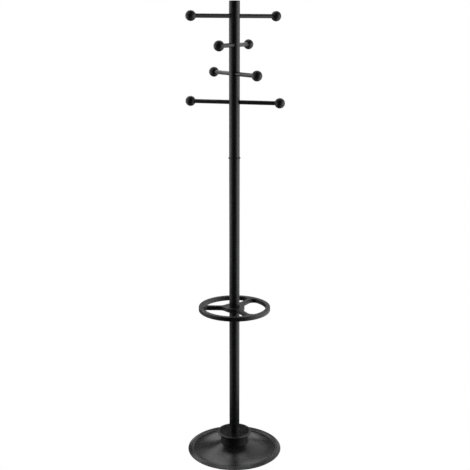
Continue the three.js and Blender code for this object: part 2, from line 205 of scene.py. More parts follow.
def quads(rows, columns, wrap_rows, wrap_columns):
    """Corner numbers of the four-sided faces of a grid of rows x columns points, closed on itself
    along either way."""
    i = np.arange(rows if wrap_rows else rows - 1)[:, None]
    j = np.arange(columns if wrap_columns else columns - 1)[None, :]
    below, above = i * columns, (i + 1) % rows * columns
    right = (j + 1) % columns
    return np.stack([below + j, below + right, above + right, above + j], axis=-1).reshape(-1, 4)


def spun(outline, sides, loop=True, origin=(0, 0, 0), axis=(0, 0, 1), across=(1, 0, 0)):
    """A surface of revolution: origin + h axis + r (cos t across + sin t (axis x across)) for each
    outline point (r, h) and each angle t round the full turn. Returns its points and faces."""
    t = np.linspace(0, 2 * math.pi, sides, endpoint=False)
    axis, across = np.array(axis, float), np.array(across, float)
    spoke = np.cos(t)[:, None] * across + np.sin(t)[:, None] * np.cross(axis, across)
    points = (
        np.array(origin, float)
        + outline[:, 1][:, None, None] * axis
        + outline[:, 0][:, None, None] * spoke
    )
    return points.reshape(-1, 3), quads(len(outline), sides, loop, True)


def joined(*parts):
    """Several (points, faces) pairs as one pair."""
    starts = np.cumsum([0] + [len(points) for points, _ in parts[:-1]])
    return (
        np.concatenate([points for points, _ in parts]),
        np.concatenate([faces + start for (_, faces), start in zip(parts, starts)]),
    )


def mesh_object(name, points, faces):
    """The grid as a closed mesh: its doubles merged at 2 micrometres, its faces turned outwards,
    and smooth except where two faces meet at more than 35 degrees."""
    mesh = bpy.data.meshes.new(name)
    mesh.vertices.add(len(points))
    mesh.vertices.foreach_set("co", points.astype(np.float32).ravel())
    mesh.loops.add(faces.size)
    mesh.loops.foreach_set("vertex_index", faces.astype(np.int32).ravel())
    mesh.polygons.add(len(faces))
    mesh.polygons.foreach_set("loop_start", np.arange(0, faces.size, 4, dtype=np.int32))
    mesh.update(calc_edges=True)
    work = bmesh.new()
    work.from_mesh(mesh)
    bmesh.ops.remove_doubles(work, verts=work.verts, dist=2e-6)
    bmesh.ops.recalc_face_normals(work, faces=work.faces)
    work.to_mesh(mesh)
    work.free()
    soften(mesh)
    made = bpy.data.objects.new(name, mesh)
    bpy.context.scene.collection.objects.link(made)
    return made


def soften(mesh):
    """Smooth shading, with an edge of more than 35 degrees kept sharp."""
    mesh.polygons.foreach_set("use_smooth", np.ones(len(mesh.polygons), bool))
    mesh.set_sharp_from_angle(angle=math.radians(35))


def fit(made, body, slot, finish, *nodes):
    """A finished piece: its finish, the body it moves with and the nodes it stands for. The slot is not
    used.
    """
    made.data.materials.append(finish)
    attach(made, body)
    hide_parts(*nodes)
    return made


# ---------------------------------------------------------------- patterns that several finishes share


def group(name, inputs, outputs):
    """An empty node group with named inputs, each (kind, default), and named outputs."""
    tree = bpy.data.node_groups.new(name, "ShaderNodeTree")
    for label, (kind, default) in inputs.items():
        socket = tree.interface.new_socket(label, in_out="INPUT", socket_type="NodeSocket" + kind)
        if default is not None:
            socket.default_value = default
    for label, kind in outputs.items():
        tree.interface.new_socket(label, in_out="OUTPUT", socket_type="NodeSocket" + kind)
    return tree, tree.nodes.new("NodeGroupInput"), tree.nodes.new("NodeGroupOutput")


def noise(tree, place, scale, detail, rough=0.5):
    """A noise texture at a scale in cells per metre, which may be a socket or a number."""
    node = tree.nodes.new("ShaderNodeTexNoise")
    node.inputs["Detail"].default_value = detail
    node.inputs["Roughness"].default_value = rough
    tree.links.new(place, node.inputs["Vector"])
    feed(tree, scale, node.inputs["Scale"])
    return node.outputs["Fac"]


def feed(tree, value, socket):
    """Links a socket, or sets a plain number."""
    if isinstance(value, bpy.types.NodeSocket):
        tree.links.new(value, socket)
    else:
        socket.default_value = value


def sum_of(tree, operation, first, second, clamp=False):
    """One Math node."""
    node = tree.nodes.new("ShaderNodeMath")
    node.operation = operation
    node.use_clamp = clamp
    feed(tree, first, node.inputs[0])
    feed(tree, second, node.inputs[1])
    return node.outputs[0]


def ranged(tree, value, low, high, to_low, to_high, smooth=False):
    """value carried from low..high to to_low..to_high and held at both ends."""
    node = tree.nodes.new("ShaderNodeMapRange")
    node.interpolation_type = "SMOOTHSTEP" if smooth else "LINEAR"
    for number, wanted in enumerate((value, low, high, to_low, to_high)):
        feed(tree, wanted, node.inputs[number])
    return node.outputs["Result"]


def orange_peel():
    """The skin of a baked powder coat: low rounded cells, a finer ripple on them, and patches a few
    centimetres across where the coat is a little thicker or thinner."""
    tree, given, out = group(
        "orange peel",
        {"Place": ("Vector", None), "Cells per Metre": ("Float", 420.0)},
        {"Height": "Float", "Drift": "Float"},
    )
    place, cells = given.outputs["Place"], given.outputs["Cells per Metre"]
    waves = noise(tree, place, cells, 1.0)
    ripple = noise(tree, place, sum_of(tree, "MULTIPLY", cells, 3.1), 2.0)
    tree.links.new(
        sum_of(tree, "ADD", sum_of(tree, "MULTIPLY", waves, 0.8), sum_of(tree, "MULTIPLY", ripple, 0.2)),
        out.inputs["Height"],
    )
    tree.links.new(noise(tree, place, 14.0, 3.0), out.inputs["Drift"])
    return tree


def mould_grain():
    """The spark-eroded grain that a mould leaves on plastic: small pits between fine grains, and a
    slow change of gloss over a moulding."""
    tree, given, out = group(
        "mould grain",
        {"Place": ("Vector", None), "Grains per Metre": ("Float", 1500.0)},
        {"Height": "Float", "Gloss": "Float"},
    )
    place, grains = given.outputs["Place"], given.outputs["Grains per Metre"]
    pits = tree.nodes.new("ShaderNodeTexVoronoi")
    pits.feature = "SMOOTH_F1"
    pits.inputs["Smoothness"].default_value = 0.6
    tree.links.new(place, pits.inputs["Vector"])
    tree.links.new(grains, pits.inputs["Scale"])
    fine = noise(tree, place, sum_of(tree, "MULTIPLY", grains, 1.7), 2.0)
    tree.links.new(sum_of(tree, "ADD", pits.outputs["Distance"], fine), out.inputs["Height"])
    tree.links.new(noise(tree, place, 22.0, 2.0), out.inputs["Gloss"])
    return tree


def rubbed_edges():
    """Where hands and cloths rub first: the convex edges, broken up by a noise."""
    tree, given, out = group(
        "rubbed edges",
        {"Place": ("Vector", None), "Amount": ("Float", 0.5)},
        {"Mask": "Float"},
    )
    shape = tree.nodes.new("ShaderNodeNewGeometry")
    edge = ranged(tree, shape.outputs["Pointiness"], 0.53, 0.62, 0.0, 1.0, smooth=True)
    broken = ranged(tree, noise(tree, given.outputs["Place"], 60.0, 4.0), 0.35, 0.7, 0.25, 1.0)
    worn = sum_of(tree, "MULTIPLY", edge, broken)
    tree.links.new(
        sum_of(tree, "MULTIPLY", worn, given.outputs["Amount"], clamp=True), out.inputs["Mask"]
    )
    return tree


def settled_dust():
    """A trace of dust on what faces up: the share of the normal that points up, patchy."""
    tree, given, out = group(
        "settled dust",
        {"Place": ("Vector", None), "Amount": ("Float", 0.3)},
        {"Mask": "Float"},
    )
    shape = tree.nodes.new("ShaderNodeNewGeometry")
    split = tree.nodes.new("ShaderNodeSeparateXYZ")
    tree.links.new(shape.outputs["Normal"], split.inputs[0])
    upward = ranged(tree, split.outputs["Z"], 0.55, 1.0, 0.0, 1.0, smooth=True)
    cloud = ranged(tree, noise(tree, given.outputs["Place"], 35.0, 5.0, 0.6), 0.4, 0.75, 0.15, 1.0)
    fleck = ranged(tree, noise(tree, given.outputs["Place"], 900.0, 1.0), 0.66, 0.74, 0.0, 1.0)
    lying = sum_of(tree, "MULTIPLY", upward, sum_of(tree, "ADD", cloud, fleck))
    tree.links.new(
        sum_of(tree, "MULTIPLY", lying, given.outputs["Amount"], clamp=True), out.inputs["Mask"]
    )
    return tree


PEEL = orange_peel()
GRAIN = mould_grain()
RUB = rubbed_edges()
DUST = settled_dust()

# ---------------------------------------------------------------- finishes


class Finish:
    """A material being put together round one Principled shader."""

    def __init__(self, name, roughness, **plain):
        self.material = bpy.data.materials.new(name)
        self.material.use_nodes = True
        self.tree = self.material.node_tree
        self.shader = self.tree.nodes["Principled BSDF"]
        self.shader.inputs["Roughness"].default_value = roughness
        for label, value in plain.items():
            self.shader.inputs[label.replace("_", " ")].default_value = value
        self.place = self.tree.nodes.new("ShaderNodeTexCoord").outputs["Object"]

    def use(self, tree, **values):
        """Places a node group on this piece's own coordinates."""
        node = self.tree.nodes.new("ShaderNodeGroup")
        node.node_tree = tree
        self.tree.links.new(self.place, node.inputs["Place"])
        for label, value in values.items():
            node.inputs[label.replace("_", " ")].default_value = value
        return node.outputs

    def mixed(self, mask, first, second):
        """A colour between first and second, each a colour or a socket, by the mask."""
        node = self.tree.nodes.new("ShaderNodeMix")
        node.data_type = "RGBA"
        feed(self.tree, mask, node.inputs["Factor"])
        for label, value in (("A", first), ("B", second)):
            colours = [socket for socket in node.inputs if socket.type == "RGBA"]
            feed(self.tree, value, [socket for socket in colours if socket.name == label][0])
        return [socket for socket in node.outputs if socket.type == "RGBA"][0]

    def colour(self, value):
        feed(self.tree, value, self.shader.inputs["Base Color"])

    def rough(self, value):
        feed(self.tree, value, self.shader.inputs["Roughness"])

    def weathered(self, body, drift, low, high, rubbing, bared):
        """A body colour with its edges rubbed to a paler grey and a trace of dust on it. The roughness
        drifts between low and high, and the dust dulls it."""
        dust = self.use(DUST, Amount=0.05)["Mask"]
        rub = self.use(RUB, Amount=rubbing)["Mask"]
        self.colour(self.mixed(dust, self.mixed(rub, body, grey(bared)), grey(0.16)))
        gloss = ranged(self.tree, drift, 0.3, 0.7, low, high)
        dulled = sum_of(self.tree, "MULTIPLY", dust, 0.5)
        self.rough(sum_of(self.tree, "ADD", gloss, dulled, clamp=True))

    def bump(self, height, depth):
        """Relief whose full height is depth metres."""
        node = self.tree.nodes.new("ShaderNodeBump")
        node.inputs["Strength"].default_value = 1.0
        node.inputs["Distance"].default_value = depth
        self.tree.links.new(height, node.inputs["Height"])
        self.tree.links.new(node.outputs["Normal"], self.shader.inputs["Normal"])


def grey(value):
    return (value, value, value, 1.0)


def coated_steel(name, low, high):
    """Black powder coat on steel, its roughness drifting between low and high."""
    made = Finish(name, low)
    peel = made.use(PEEL, Cells_per_Metre=420.0)
    coat = made.mixed(peel["Drift"], (0.0052, 0.0054, 0.0058, 1), (0.0078, 0.0080, 0.0085, 1))
    made.weathered(coat, peel["Drift"], low, high, rubbing=0.35, bared=0.028)
    made.bump(peel["Height"], 0.000012)
    return made.material


def moulded_plastic(name, dark, light, low, high, grains, depth):
    """Black plastic with the mould's grain on it."""
    made = Finish(name, low)
    grain = made.use(GRAIN, Grains_per_Metre=grains)
    body = made.mixed(grain["Gloss"], dark, light)
    made.weathered(body, grain["Gloss"], low, high, rubbing=0.3, bared=0.03)
    made.bump(grain["Height"], depth)
    return made.material


def zinc_plate():
    """Bright zinc plating with a faint cloudy passivation."""
    made = Finish("zinc plating", 0.35, Metallic=1.0)
    drift = made.use(PEEL, Cells_per_Metre=180.0)
    made.colour(made.mixed(drift["Drift"], (0.42, 0.43, 0.45, 1), (0.60, 0.60, 0.56, 1)))
    made.rough(ranged(made.tree, drift["Height"], 0.3, 0.7, 0.28, 0.46))
    made.bump(drift["Height"], 0.00002)
    return made.material


def sand_cast_iron():
    """Raw casting: the sand's print, darker in its hollows, with a trace of rust."""
    made = Finish("raw cast iron", 0.7, Metallic=0.55)
    sand = made.use(GRAIN, Grains_per_Metre=700.0)
    rust = ranged(made.tree, sand["Gloss"], 0.55, 0.72, 0.0, 0.7, smooth=True)
    iron = made.mixed(sand["Height"], (0.030, 0.030, 0.031, 1), (0.11, 0.11, 0.112, 1))
    made.colour(made.mixed(rust, iron, (0.10, 0.045, 0.020, 1)))
    made.rough(ranged(made.tree, sand["Height"], 0.2, 1.2, 0.6, 0.85))
    made.bump(sand["Height"], 0.00025)
    return made.material


def black_rubber():
    """Dull rubber with a bloom of dust."""
    made = Finish("black rubber", 0.85)
    skin = made.use(GRAIN, Grains_per_Metre=900.0)
    made.colour(made.mixed(skin["Gloss"], grey(0.010), grey(0.022)))
    made.rough(ranged(made.tree, skin["Gloss"], 0.3, 0.7, 0.78, 0.92))
    made.bump(skin["Height"], 0.00006)
    return made.material


STEEL = coated_steel("satin black powder coat", 0.33, 0.40)
DISH_STEEL = coated_steel("semi-gloss black powder coat", 0.24, 0.28)
PLASTIC = moulded_plastic(
    "black moulded plastic",
    (0.0055, 0.0056, 0.0060, 1), (0.0080, 0.0081, 0.0086, 1), 0.34, 0.42, 1500.0, 0.00001,
)
DISC_PLASTIC = moulded_plastic(
    "polished black plastic",
    (0.0055, 0.0056, 0.0060, 1), (0.0080, 0.0081, 0.0086, 1), 0.15, 0.20, 1500.0, 0.000002,
)
BALL_PLASTIC = moulded_plastic(
    "black ball plastic",
    (0.0040, 0.0040, 0.0043, 1), (0.0060, 0.0060, 0.0064, 1), 0.40, 0.48, 1900.0, 0.000008,
)
ZINC = zinc_plate()
IRON = sand_cast_iron()
RUBBER = black_rubber()

# ---------------------------------------------------------------- base


def dish_level(radius):
    """The dish's upper surface: level at its lowest circle, and the share of the way in to the flat
    raised to the dish's power gives the share of the rise."""
    lowest = BASE_RADIUS - FLOOR_CIRCLE_INSET
    share = (lowest - radius) / (lowest - SEAT_RADIUS)
    return FLOOR_CIRCLE_LEVEL + (SEAT_LEVEL - FLOOR_CIRCLE_LEVEL) * share**DISH_POWER


def base_dish():
    """Pressed steel dish. Outline: flat seat, the power curve down to the lowest circle, a steep
    straight rise to the rounded crest, a straight fall to the rolled outer edge, and the same again
    below, one wall's thickness down. The curve's points crowd a little towards the lowest circle."""
    lip = levels("base_dish")[0]
    lowest = BASE_RADIUS - FLOOR_CIRCLE_INSET
    crest = BASE_RADIUS - CREST_INSET
    rows = 60
    crowding = 1.2
    radii = lowest + (SEAT_RADIUS - lowest) * np.linspace(0, 1, rows)[1:-1] ** crowding
    curve = np.stack([radii, dish_level(radii), np.zeros_like(radii)], axis=1)[::-1]
    under = curve[::-1] - [0, DISH_WALL, 0]
    top = [
        [STUD_BORE, SEAT_LEVEL, 0],
        [SEAT_RADIUS, SEAT_LEVEL, 0],
        *curve,
        [lowest + RIM_FOOT_OUT, FLOOR_CIRCLE_LEVEL, RIM_FOOT_ROUND],
        [crest, CREST_LEVEL, CREST_ROUND],
        [BASE_RADIUS, RIM_EDGE_LEVEL, RIM_EDGE_ROUND],
        [BASE_RADIUS, lip, RIM_LIP_ROUND],
    ]
    below = [
        [BASE_RADIUS - DISH_WALL, lip, 0.0003],
        [BASE_RADIUS - DISH_WALL, UNDER_EDGE_LEVEL, 0.0004],
        [crest, CREST_LEVEL - DISH_WALL, UNDER_CREST_ROUND],
        [lowest + UNDER_FOOT_OUT, FLOOR_CIRCLE_LEVEL - DISH_WALL, RIM_FOOT_ROUND],
        *under,
        [SEAT_RADIUS, SEAT_LEVEL - DISH_WALL, 0],
        [STUD_BORE, SEAT_LEVEL - DISH_WALL, 0],
    ]
    made = mesh_object("pressed_dish", *spun(rounded(top + below, hold=0.0006), TURN_SIDES))
    return fit(made, "stand", "black_steel", DISH_STEEL, "base_dish")


def foot_ring():
    """Rubber ring under the rim: its top slopes with the rim, and its tread has two grooves, each a
    fifth of its width."""
    low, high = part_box("floor_ring")
    outer = high.x
    inner = outer - FOOT_RING_WIDTH
    fifth = FOOT_RING_WIDTH / 5
    tread = []
    for start in (inner + fifth, inner + 3 * fifth):
        tread += [
            [start, low.z, TREAD_ROUND],
            [start + TREAD_ROUND, low.z + TREAD_DEPTH, TREAD_ROUND / 2],
            [start + fifth - TREAD_ROUND, low.z + TREAD_DEPTH, TREAD_ROUND / 2],
            [start + fifth, low.z, TREAD_ROUND],
        ]
    corners = [
        [inner, low.z, 0.0005],
        *tread,
        [outer, low.z, 0.0005],
        [outer, high.z - FOOT_RING_SLOPE * FOOT_RING_WIDTH, 0.0004],
        [inner, high.z, 0.0004],
    ]
    outline = rounded(corners, steps=3, hold=0.0003)
    made = mesh_object("rubber_foot_ring", *spun(outline, TURN_SIDES))
    return fit(made, "stand", "rubber", RUBBER, "floor_ring")


# ---------------------------------------------------------------- hub


def hub_cover():
    """Moulded cover. Outline: flared skirt, a concave quarter sweep into the flange, a half-round
    lip, the open groove, the disc's seat, and the inside one wall's thickness away."""
    foot = levels("hub_cover")[0]
    skirt_foot = SKIRT_RADIUS + SKIRT_FOOT_FLARE
    flange_bottom = HUB_TOP - FLANGE_HEIGHT
    lip = FLANGE_HEIGHT / 2
    seat = DISC_BOTTOM - DISC_SEAT
    under = seat - HUB_WALL
    rise = np.linspace(0, 1, 14)
    flare = SKIRT_RADIUS + SKIRT_FOOT_FLARE * (1 - rise) ** 2
    skirt_top = flange_bottom - SKIRT_SWEEP
    skirt = np.stack([flare, foot + (skirt_top - foot) * rise, 0 * rise], axis=1)[1:]
    corners = [
        [skirt_foot, foot, 0.0006],
        *skirt[1:-1],
        [SKIRT_RADIUS, flange_bottom, SKIRT_SWEEP],
        [FLANGE_RADIUS, flange_bottom, lip - 0.0001],
        [FLANGE_RADIUS, HUB_TOP, lip - 0.0001],
        [DISC_RADIUS + DISC_GROOVE, HUB_TOP, 0.0004],
        [DISC_RADIUS + DISC_GROOVE, seat, 0.0003],
        [HUB_BORE, seat, 0.0003],
        [HUB_BORE, under, 0.0003],
        [SKIRT_RADIUS - HUB_WALL, under, 0.002],
        [SKIRT_RADIUS - HUB_WALL, foot + HUB_STRAIGHT, 0],
        [skirt_foot - HUB_WALL, foot, 0.0003],
    ]
    made = mesh_object("hub_cover_moulding", *spun(rounded(corners, steps=12), TURN_SIDES))
    return fit(made, "stand", "black_plastic", PLASTIC, "hub_cover")


def hub_disc():
    """Flat disc round the pole, with a rounded rim and a rounded bore."""
    bottom, top = levels("hub_disc")
    bore = POLE_RADIUS + SLIP
    corners = [
        [bore, bottom, 0.0002],
        [DISC_RADIUS, bottom, 0.0002],
        [DISC_RADIUS, top, 0.0009],
        [bore, top, 0.0004],
    ]
    made = mesh_object("hub_disc_moulding", *spun(rounded(corners), TURN_SIDES))
    return fit(made, "stand", "black_plastic", DISC_PLASTIC, "hub_disc")


# ---------------------------------------------------------------- pole


def tube_outline(node, extra=()):
    """A tube's wall, with its ends eased. extra are levels at which its long faces are divided."""
    bottom, top = levels(node)
    inner = POLE_RADIUS - TUBE_WALL
    rises = [[POLE_RADIUS, level, 0] for level in sorted(extra)]
    falls = [[inner, level, 0] for level in sorted(extra, reverse=True)]
    corners = [
        [inner, bottom, TUBE_END_ROUND],
        [POLE_RADIUS, bottom, TUBE_END_ROUND],
        *rises,
        [POLE_RADIUS, top, TUBE_END_ROUND],
        [inner, top, TUBE_END_ROUND],
        *falls,
    ]
    return rounded(corners, steps=4)


def pole_section(name, node):
    """A plain tube of the pole."""
    made = mesh_object(name, *spun(tube_outline(node), TURN_SIDES))
    return fit(made, "stand", "black_steel", STEEL, node)


def drilled_section():
    """The upper tube, drilled right through for each peg: a tube less a straight rod through it at
    each peg's level and azimuth."""
    holes = [tip_of(f"ball_{level}_right") for level in (1, 2, 3, 4)]
    drill = PEG_RADIUS + DRILL_PLAY
    division = drill + DRILL_MARGIN
    extra = [level + side * division for _, _, level in holes for side in (-1, 1)]
    made = mesh_object("pole_upper", *spun(tube_outline("upper_tube", extra), TURN_SIDES))
    reach = 2 * POLE_RADIUS
    rod = rounded([[0, -reach, 0], [drill, -reach, 0], [drill, reach, 0], [0, reach, 0]], loop=False)
    cutters = []
    for number, (azimuth, _, level) in enumerate(holes, 1):
        along = (math.cos(azimuth), math.sin(azimuth), 0)
        cutter = mesh_object(
            f"drill_{number}",
            *spun(rod, PEG_SIDES, False, origin=(0, 0, level), axis=along, across=(0, 0, 1)),
        )
        cut = made.modifiers.new(cutter.name, "BOOLEAN")
        cut.operation = "DIFFERENCE"
        cut.solver = "EXACT"
        cut.object = cutter
        cutters.append(cutter)
    plain = made.data
    graph = bpy.context.evaluated_depsgraph_get()
    made.data = bpy.data.meshes.new_from_object(made.evaluated_get(graph))
    made.data.name = plain.name
    made.modifiers.clear()
    soften(made.data)
    for cutter in cutters:
        bpy.data.objects.remove(cutter)
    return fit(made, "stand", "black_steel", STEEL, "upper_tube")


def joint_collar():
    """Thin collar trapped between two tubes, its outer edges rounded."""
    bottom, top = levels("joint_ring")
    outer = radius_of("joint_ring")
    corners = [
        [STUD_BORE, bottom, 0.0003],
        [outer, bottom, COLLAR_ROUND],
        [outer, top, COLLAR_ROUND],
        [STUD_BORE, top, 0.0003],
    ]
    made = mesh_object("joint_collar", *spun(rounded(corners), TURN_SIDES))
    return fit(made, "stand", "black_plastic", PLASTIC, "joint_ring")


def pole_cap():
    """Flat cap with a rounded edge and a plug that goes down the tube."""
    bottom, top = levels("top_cap")
    lip = top - CAP_LIP
    plug = POLE_RADIUS - TUBE_WALL - SLIP
    corners = [
        [0, bottom, 0],
        [plug, bottom, 0.0008],
        [plug, lip, 0],
        [POLE_RADIUS, lip, 0.0002],
        [POLE_RADIUS, top, CAP_ROUND],
        [0, top, 0],
    ]
    made = mesh_object("pole_cap", *spun(rounded(corners, loop=False), TURN_SIDES, False))
    return fit(made, "stand", "black_plastic", PLASTIC, "top_cap")


def holder_bush():
    """Plain bush that the umbrella holder turns on."""
    bottom, top = levels("ring_bush")
    outer = radius_of("ring_bush")
    corners = [
        [STUD_BORE, bottom, 0.0003],
        [outer, bottom, 0.0006],
        [outer, top, 0.0006],
        [STUD_BORE, top, 0.0003],
    ]
    made = mesh_object("holder_bush", *spun(rounded(corners), PEG_SIDES))
    return fit(made, "stand", "black_plastic", PLASTIC, "ring_bush")


# ---------------------------------------------------------------- pegs and balls


def peg(number):
    """A peg and the balls on its two ends. The peg is a tube turned about its own axis. A ball is a
    sphere's arc from the mouth to its far point, a socket for the peg and a spigot that goes into
    the peg's bore, turned about the same axis."""
    azimuth, reach, level = tip_of(f"ball_{number}_right")
    along = np.array([math.cos(azimuth), math.sin(azimuth), 0])
    middle = reach - BALL_RADIUS
    end = middle - math.sqrt(BALL_RADIUS**2 - PEG_RADIUS**2) + PEG_INTO_BALL
    bore = PEG_RADIUS - PEG_WALL
    tube = rounded(
        [[bore, -end, PEG_END_ROUND], [PEG_RADIUS, -end, PEG_END_ROUND],
         [PEG_RADIUS, end, PEG_END_ROUND], [bore, end, PEG_END_ROUND]],
        steps=3,
    )
    frame_of = {"origin": (0, 0, level), "across": (0, 0, 1)}
    made = mesh_object(f"peg_bar_{number}", *spun(tube, PEG_SIDES, axis=along, **frame_of))
    fit(made, "stand", "black_steel", STEEL, f"peg_{number}")
    mouth = PEG_RADIUS + BALL_MOUTH_PLAY
    spigot = bore - SLIP
    floor = end + BALL_SEAT
    start = math.asin(mouth / BALL_RADIUS) - math.pi / 2
    past_mouth = 0.05
    swing = np.linspace(start + past_mouth, math.pi / 2, 40)
    arc = np.stack(
        [BALL_RADIUS * np.cos(swing), middle + BALL_RADIUS * np.sin(swing), 0 * swing], axis=1
    )
    arc[-1, 0] = 0
    corners = [
        [0, floor - SPIGOT_LENGTH, 0],
        [spigot, floor - SPIGOT_LENGTH, 0.0008],
        [spigot, floor, 0],
        [mouth, floor, 0],
        [mouth, middle + BALL_RADIUS * math.sin(start), BALL_MOUTH_ROUND],
        *arc,
    ]
    for side, sign in (("right", 1), ("left", -1)):
        ball = mesh_object(
            f"knob_{number}_{side}",
            *spun(rounded(corners, loop=False), PEG_SIDES, False, axis=sign * along, **frame_of),
        )
        fit(ball, "stand", "ball_plastic", BALL_PLASTIC, f"ball_{number}_{side}")


# ---------------------------------------------------------------- umbrella holder


def window_stretches():
    """Half of one opening's outline, from the middle of its hub side to the middle of its hoop side,
    and the half outline of the sector round it. Each row of a stretch is (x, y, r, t, R, T): the
    opening's point is (x, y) + r (cos t, sin t), with its normal at angle t, and the sector's point
    is R (cos T, sin T). A stretch goes evenly from its first row to its last. The fillet at the hub
    has its centre half the arm's width plus its radius from the arm's middle line, and the sum of
    both radii from the centre of the hub's bulge. Two shares set only where the grid's lines meet the
    bore and the arm: how much of the bulge faces the bore, and where along the arm the next begins."""
    arm = math.pi / 3
    facing_bore = 0.55
    along_arm = 0.45
    half = ARM_WIDTH / 2
    normal = arm + math.pi / 2
    along = np.array([math.cos(arm), math.sin(arm)])
    aside = np.array([math.sin(arm), -math.cos(arm)])
    bulge = np.array([HUB_SIDE - HUB_SIDE_RADIUS, 0])
    hub_off = half + HUB_FILLET
    hub_out = bulge @ along + math.sqrt(
        (HUB_SIDE_RADIUS + HUB_FILLET) ** 2 - (hub_off - bulge @ aside) ** 2
    )
    hub_x, hub_y = hub_out * along + hub_off * aside
    hub_turn = math.pi + math.atan2(hub_y, hub_x - bulge[0])
    hoop_off = half + HOOP_FILLET
    hoop_out = math.sqrt((HOOP_INNER - HOOP_FILLET) ** 2 - hoop_off**2)
    hoop_x, hoop_y = hoop_out * along + hoop_off * aside
    hoop_turn = math.atan2(hoop_y, hoop_x)
    middle_turn = (hoop_turn + normal) / 2
    outer = HOOP_OUTER - HOOP_ROUND
    sector_turn = (arm + hoop_turn) / 2
    arm_start = HOLDER_BORE + along_arm * (hub_out - HOLDER_BORE)
    bulge_split = math.pi + facing_bore * (hub_turn - math.pi)
    bulge_x = bulge[0]
    bulge_first = (bulge_x, 0, -HUB_SIDE_RADIUS, math.pi, HOLDER_BORE, 0)
    bulge_middle = (bulge_x, 0, -HUB_SIDE_RADIUS, bulge_split, HOLDER_BORE, arm)
    bulge_last = (bulge_x, 0, -HUB_SIDE_RADIUS, hub_turn, arm_start, arm)
    hub_first = (hub_x, hub_y, HUB_FILLET, hub_turn, arm_start, arm)
    hub_last = (hub_x, hub_y, HUB_FILLET, normal, hub_out, arm)
    arm_last = (hoop_x, hoop_y, HOOP_FILLET, normal, hoop_out, arm)
    fillet_middle = (hoop_x, hoop_y, HOOP_FILLET, middle_turn, outer, arm)
    fillet_last = (hoop_x, hoop_y, HOOP_FILLET, hoop_turn, outer, sector_turn)
    hoop_first = (0, 0, HOOP_INNER, hoop_turn, outer, sector_turn)
    hoop_last = (0, 0, HOOP_INNER, 0, outer, 0)
    return [
        (bulge_first, bulge_middle, 16),
        (bulge_middle, bulge_last, 12),
        (hub_first, hub_last, 20),
        (hub_last, arm_last, 16),
        (arm_last, fillet_middle, 14),
        (fillet_middle, fillet_last, 14),
        (hoop_first, hoop_last, 34),
    ]


def holder_sector():
    """A third of the umbrella holder, about +X. Its main grid runs round the opening and across the
    section: over the underside, round its edge by (b(1 - sin a), b(1 - cos a)), up the wall, round
    the upper edge by (e(1 - cos a), -e(1 - sin a)) and over the top to the sector's outline. Two
    more grids are the hoop's outer wall and the bore's wall."""
    stretches = window_stretches()
    runs = [np.linspace(first, last, count, endpoint=False) for first, last, count in stretches]
    end_row = np.array([stretches[-1][1]])
    x, y, r, t, sector_r, sector_t = np.concatenate(runs + [end_row]).T
    nx, ny = np.cos(t), np.sin(t)
    upper = np.stack([x + r * nx, y + r * ny, nx, ny, sector_r, sector_t])
    lower = upper[:, -2:0:-1] * np.array([1, -1, 1, -1, 1, -1])[:, None]
    px, py, nx, ny, sector_r, sector_t = np.concatenate([upper, lower], axis=1)
    window = np.stack([px, py], axis=1)
    normal = np.stack([nx, ny], axis=1)
    edge = sector_r[:, None] * np.stack([np.cos(sector_t), np.sin(sector_t)], axis=1)
    from_pole = np.hypot(px, py)
    upper_edge = np.interp(from_pole, *zip(*WINDOW_UPPER_ROUND))
    lower_edge = WINDOW_LOWER_ROUND
    bottom, top = levels("umbrella_ring")

    swing = np.linspace(0, math.pi / 2, 9)
    rows, drops, rises = [], [], []

    def add(points, drop, rise):
        rows.append(points)
        drops.append(drop)
        rises.append(rise)

    none = np.zeros(len(px))
    inner_low = window + normal * lower_edge
    for share in np.linspace(0, 1, 7)[:-1]:
        add(edge + (inner_low - edge) * share, None, none)
    for a in swing[::2]:
        shift = lower_edge * (1 - math.sin(a))
        add(window + normal * shift, None, none + lower_edge * (1 - math.cos(a)))
    add(window, None, none + lower_edge + WALL_HOLD)
    add(window, upper_edge + WALL_HOLD, None)
    for a in swing:
        shift = (upper_edge * (1 - math.cos(a)))[:, None]
        add(window + normal * shift, upper_edge * (1 - math.sin(a)), None)
    inner_top = window + normal * upper_edge[:, None]
    for share in np.linspace(0, 1, 8)[1:]:
        add(inner_top + (edge - inner_top) * share, none, None)

    def raised(points, drop, rise):
        return np.column_stack([points, top - drop if rise is None else bottom + rise])

    grid = np.stack([raised(*row) for row in zip(rows, drops, rises)])
    main = (grid.reshape(-1, 3), quads(len(rows), len(px), False, True))

    on_hoop = np.flatnonzero(sector_r == sector_r.max())
    from_sine = HOOP_ROUND * (1 - np.sin(swing))
    from_cosine = HOOP_ROUND * (1 - np.cos(swing))
    hoop_wall = np.concatenate([
        np.column_stack([HOOP_OUTER - from_sine, bottom + from_cosine]),
        [[HOOP_OUTER, bottom + HOOP_ROUND + WALL_HOLD], [HOOP_OUTER, top - HOOP_ROUND - WALL_HOLD]],
        np.column_stack([HOOP_OUTER - from_cosine, top - from_sine]),
    ])
    bore_wall = np.array([[HOLDER_BORE, bottom], [HOLDER_BORE, top]])
    on_bore = np.flatnonzero(sector_r == sector_r.min())
    on_bore = on_bore[np.argsort(sector_t[on_bore])]
    return joined(main, swept(hoop_wall, sector_t[on_hoop]), swept(bore_wall, sector_t[on_bore]))


def swept(wall, angles):
    """A wall of (radius, height) points swept through the given angles: (r cos t, r sin t, h)."""
    grid = np.stack([
        wall[:, 0][:, None] * np.cos(angles),
        wall[:, 0][:, None] * np.sin(angles),
        wall[:, 1][:, None] + 0 * angles,
    ], axis=-1)
    return grid.reshape(-1, 3), quads(len(wall), len(angles), False, False)


